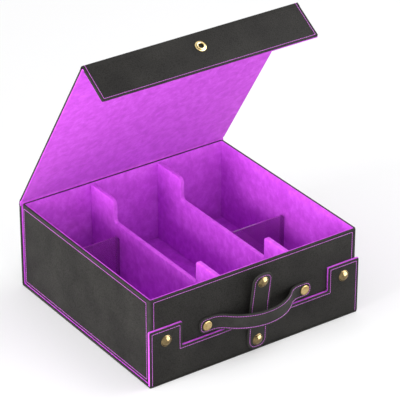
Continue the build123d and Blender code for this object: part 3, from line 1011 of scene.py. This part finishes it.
def turned_head(name, profile, hole=False):
    """A round head that stands on height 0 along Z: its profile is a row of radii and heights."""
    radius, height = profile[0]
    piece = begin("circle", vertices=40, radius=radius, fill_type="NGON", location=(0, 0, height))
    bpy.ops.mesh.select_mode(type="FACE")
    for next_radius, next_height in profile[1:]:
        move_out(next_height - height)
        share = next_radius / radius
        bpy.ops.transform.resize(value=(share, share, 1), center_override=(0, 0, next_height))
        radius, height = next_radius, next_height
    if hole:
        pick("FACE", lies_at(profile[0][1]))
        bpy.ops.mesh.delete(type="FACE")
        pick("EDGE", lies_at(profile[0][1]))
        bpy.ops.mesh.bridge_edge_loops()
    face_outwards()
    return set_down(piece, name)


def dome_profile(radius, flange, height):
    """A flange with a soft edge and a round cap on it, whose rings lie closer towards the top."""
    crown, rise = radius - flange, height - flange
    ball = (crown ** 2 + rise ** 2) / (2 * rise)
    rings = [(radius - flange_foot, 0), (radius, flange_foot), (radius, flange - flange_brow),
             (radius - flange_brow, flange), (crown, flange)]
    for i in range(1, dome_rings):
        up = rise * (1 - (1 - i / dome_rings) ** 1.6)
        rings.append((sqrt(ball ** 2 - (ball - rise + up) ** 2), flange + up))
    return rings + [(crown_tip, height)]


def in_mm(*pairs):
    """A profile that is written in millimetres."""
    return [(radius * mm, height * mm) for radius, height in pairs]


def raised_on(place, x, y, height):
    """Place of a head on a panel."""
    return place @ Matrix.Translation((x, y, height))


def both_sides(place, x, y, height):
    """Places of a pair of heads on a panel."""
    return [raised_on(place, side * x, y, height) for side in (-1, 1)]


dome = turned_head("dome", dome_profile(dome_radius, dome_flange, dome_height))
snap_middle, snap_out, _ = strap_course(flat_run + lean_run + snap_reach)
snap_frame = panel_frame(snap_middle + snap_out * strap_thickness / 2, (1, 0, 0), leaning(tab_lean))
in_brass(copy_to("corner_stud_domes", dome, both_sides(apron_frame, stud_x, stud_z, 0)),
         polished_brass, "case", "apron_corner_studs")
in_brass(copy_to("strap_rivet_dome", dome, [raised_on(apron_frame, 0, strap_rivet_z, strap_thickness)]),
         polished_brass, "case", "strap_rivet")
in_brass(copy_to("snap_cap_dome", dome, [snap_frame]), polished_brass, "tab", "snap_cap")

rivet = turned_head("rivet", in_mm(
    (5.8, 0), (6.0, 0.3), (6.0, 1.1), (5.75, 1.4), (5.4, 1.55), (4.5, 1.6), (2.5, 1.55), (0.8, 1.5)))
in_brass(copy_to("handle_rivet_heads", rivet, both_sides(front_frame, rivet_x, handle_z, handle_thickness)),
         hammered_brass, "case", "handle_rivets")

socket = turned_head("socket", in_mm(
    (6.6, -0.2), (6.8, 0.2), (6.75, 0.5), (6.4, 0.7), (5.4, 0.8), (5.2, 1.2), (5.15, 1.6), (4.8, 1.95),
    (4.2, 2.05), (3.6, 1.95), (3.25, 1.6), (3.2, -0.2)), hole=True)
in_brass(copy_to("flap_snap_ring", socket, [raised_on(flap_frame, 0, socket_reach, 0)]),
         satin_brass, "flap", "flap_snap_socket")
for model in (dome, rivet, socket):
    bpy.data.objects.remove(model)

# Solids that stay as they are: hidden boards, tinted plates, and the backs of the fasteners
for name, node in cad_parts.items():
    if name.endswith("_board"):
        finish = grey_board
    elif name.endswith("_plate"):
        finish = purple_acrylic
    elif name in ("snap_stud", "flap_snap_back", "strap_rivet_washer", "front_wall_washers"):
        finish = satin_brass
    else:
        continue
    node.data.materials.clear()
    node.data.materials.append(finish)


# Studio: a pale floor that stays white to the eye and keeps the shadow, and large soft lamps
floor_size, floor_drop = 14, 0.2 * mm
glow_by_case = 0.25
shadow_reach, white_from = 0.5, 1.5
world_light = 0.74
lamp_aim = Vector((0, 0, 0.1))


def seen_directly(tree):
    """1 where the camera, a mirror or a clear piece looks at the studio, and 0 where it only gives light."""
    rays = add_node(tree, "ShaderNodeLightPath")
    seen = add_node(tree, "ShaderNodeMath", {
        0: rays.outputs["Is Camera Ray"], 1: rays.outputs["Is Glossy Ray"]}, operation="MAXIMUM")
    seen = add_node(tree, "ShaderNodeMath", {
        0: seen.outputs["Value"], 1: rays.outputs["Is Transmission Ray"]}, operation="MAXIMUM")
    return seen.outputs["Value"]


floor_material, floor_tree, _ = new_material("studio_floor")
paper = add_node(floor_tree, "ShaderNodeBsdfDiffuse", {"Color": colour("#f6f6f7")})
floor_seen = seen_directly(floor_tree)
glow = add_node(floor_tree, "ShaderNodeEmission", {"Color": colour("#ffffff"), "Strength": floor_seen})
spot = add_node(floor_tree, "ShaderNodeNewGeometry")
away = add_node(floor_tree, "ShaderNodeVectorMath", {0: spot.outputs["Position"]}, operation="LENGTH")
# Far from the case, where no shadow falls, the floor is white to the eye up to the horizon
far = spread(floor_tree, away.outputs["Value"], 0.0, 1.0, shadow_reach, white_from)
far_seen = add_node(floor_tree, "ShaderNodeMath", {0: far, 1: floor_seen}, operation="MULTIPLY")
finish_material(floor_tree, add_node(floor_tree, "ShaderNodeMixShader", {
    "Fac": spread(floor_tree, far_seen.outputs["Value"], glow_by_case, 1.0),
    1: paper.outputs["BSDF"], 2: glow.outputs["Emission"]}))
bpy.ops.object.select_all(action="DESELECT")
bpy.ops.mesh.primitive_plane_add(size=floor_size, location=(0, 0, -floor_drop))
studio_floor = bpy.context.object
studio_floor.name = "studio_floor"
studio_floor.data.materials.append(floor_material)

world = bpy.data.worlds.new("studio_world")
bpy.context.scene.world = world
world.use_nodes = True
world_tree = world.node_tree
world_tree.nodes.clear()
sky = add_node(world_tree, "ShaderNodeBackground", {
    "Color": colour("#ffffff"),
    "Strength": spread(world_tree, seen_directly(world_tree), world_light, 1.0)})
add_node(world_tree, "ShaderNodeOutputWorld", {"Surface": sky.outputs["Background"]})


def soft_lamp(name, place, size, power, lights=True, mirrored=False):
    """A large square lamp that looks at the case: it lights it, is mirrored in glossy surfaces, or both."""
    lamp = bpy.data.lights.new(name, "AREA")
    lamp.size, lamp.energy = size, power
    made = bpy.data.objects.new(name, lamp)
    made.location = place
    made.visible_diffuse, made.visible_glossy = lights, mirrored
    made.rotation_euler = (lamp_aim - Vector(place)).to_track_quat("-Z", "Y").to_euler()
    bpy.context.scene.collection.objects.link(made)


soft_lamp("left_lamp", (-2.0, -0.2, 0.5), size=1.0, power=38)
soft_lamp("low_left_lamp", (-1.8, 0.05, 0.12), size=0.2, power=15)
soft_lamp("front_lamp", (-0.4, -2.2, 0.5), size=1.4, power=15)
soft_lamp("right_lamp", (1.4, -0.6, 0.4), size=0.8, power=5)
soft_lamp("top_lamp", (1.15, -0.35, 2.2), size=1.2, power=14, mirrored=True)
soft_lamp("gloss_card", (1.0, -0.95, 0.55), size=2.2, power=120, lights=False, mirrored=True)

# Camera: fitted to the corners of the tray, the cover and the lid
picture_pixels, film_width = 400, 36
aim_height = 60 * mm
azimuth, elevation = radians(34.725), radians(-29.016)
focal_pixels, distance = 2507.706, 2932.494 * mm
shift_right, shift_up = 14.093 * mm, 63.161 * mm
view_way = Vector((sin(azimuth) * cos(elevation), cos(azimuth) * cos(elevation), sin(elevation)))
view_right = Vector((cos(azimuth), -sin(azimuth), 0))
view_up = view_right.cross(view_way)
camera_data = bpy.data.cameras.new("camera")
camera_data.sensor_width = film_width
camera_data.lens = focal_pixels / picture_pixels * film_width
camera_data.clip_end = 50
camera = bpy.data.objects.new("camera", camera_data)
camera.location = (Vector((0, 0, aim_height)) + view_right * shift_right + view_up * shift_up
                   - view_way * distance)
camera.rotation_euler = view_way.to_track_quat("-Z", "Y").to_euler()
bpy.context.scene.collection.objects.link(camera)
bpy.context.scene.camera = camera
bpy.context.scene.view_settings.view_transform = "Standard"
